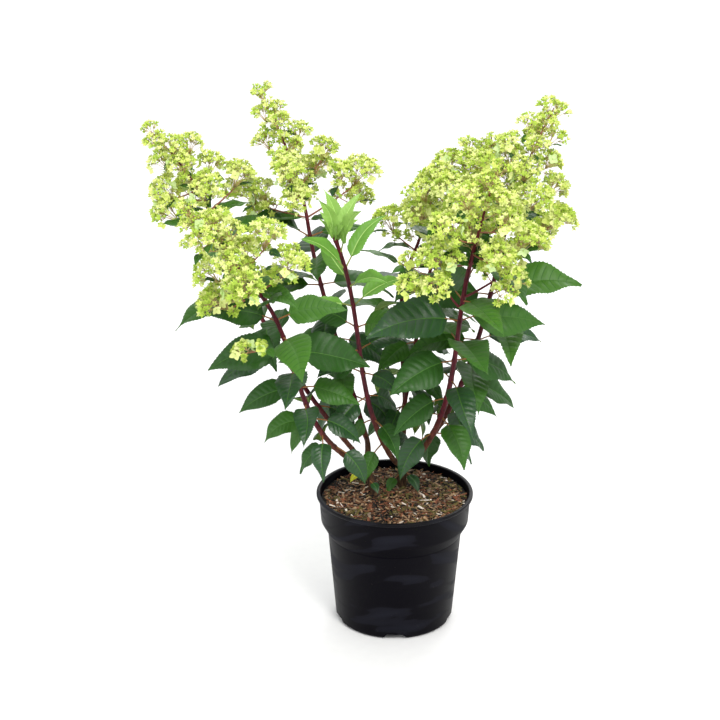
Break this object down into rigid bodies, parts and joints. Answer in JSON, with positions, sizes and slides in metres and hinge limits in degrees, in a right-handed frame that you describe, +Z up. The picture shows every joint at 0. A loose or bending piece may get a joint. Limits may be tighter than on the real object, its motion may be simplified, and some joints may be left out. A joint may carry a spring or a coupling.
{
  "type": "panicle hydrangea in a nursery pot",
  "caption": "Panicle hydrangea shrub with lime-green flower cones on red canes, in a black nursery pot topped with bark mulch.",
  "frame": {"origin": "middle of the pot's flat underside, where it stands", "axes": "+Z up, -Y towards the side the picture shows, +X to the right as seen there"},
  "size_m": [0.6267, 0.5408, 0.7701],
  "materials": {
    "pot": "satin",
    "mix": "matte",
    "mulch": "matte",
    "bark": "matte",
    "cane": "satin",
    "leaf": "satin",
    "bloom": "matte"
  },
  "bodies": {
    "root": {"pot": "pot", "potting_mix": "mix", "bark_mulch": "mulch", "stump_left": "bark", "stump_right": "bark", "cane_front_left": "cane", "cane_far_left": "cane", "cane_back_left": "cane", "cane_middle": "cane", "cane_back_middle": "cane", "cane_front_right": "cane", "cane_far_right": "cane", "cane_back": "cane", "lower_leaves_front_left": "leaf", "upper_leaves_front_left": "leaf", "lower_leaves_far_left": "leaf", "upper_leaves_far_left": "leaf", "lower_leaves_back_left": "leaf", "upper_leaves_back_left": "leaf", "lower_leaves_middle": "leaf", "upper_leaves_middle": "leaf", "lower_leaves_back_middle": "leaf", "upper_leaves_back_middle": "leaf", "lower_leaves_front_right": "leaf", "upper_leaves_front_right": "leaf", "lower_leaves_far_right": "leaf", "upper_leaves_far_right": "leaf", "lower_leaves_back": "leaf", "upper_leaves_back": "leaf", "bloom_front_left": "bloom", "bloom_far_left": "bloom", "bloom_back_left": "bloom", "bloom_back_middle": "bloom", "bloom_front_right": "bloom", "bloom_far_right": "bloom", "bloom_back": "bloom", "side_bloom_left": "bloom", "side_bloom_right": "bloom", "side_bloom_front": "bloom"}
  },
  "joints": []
}
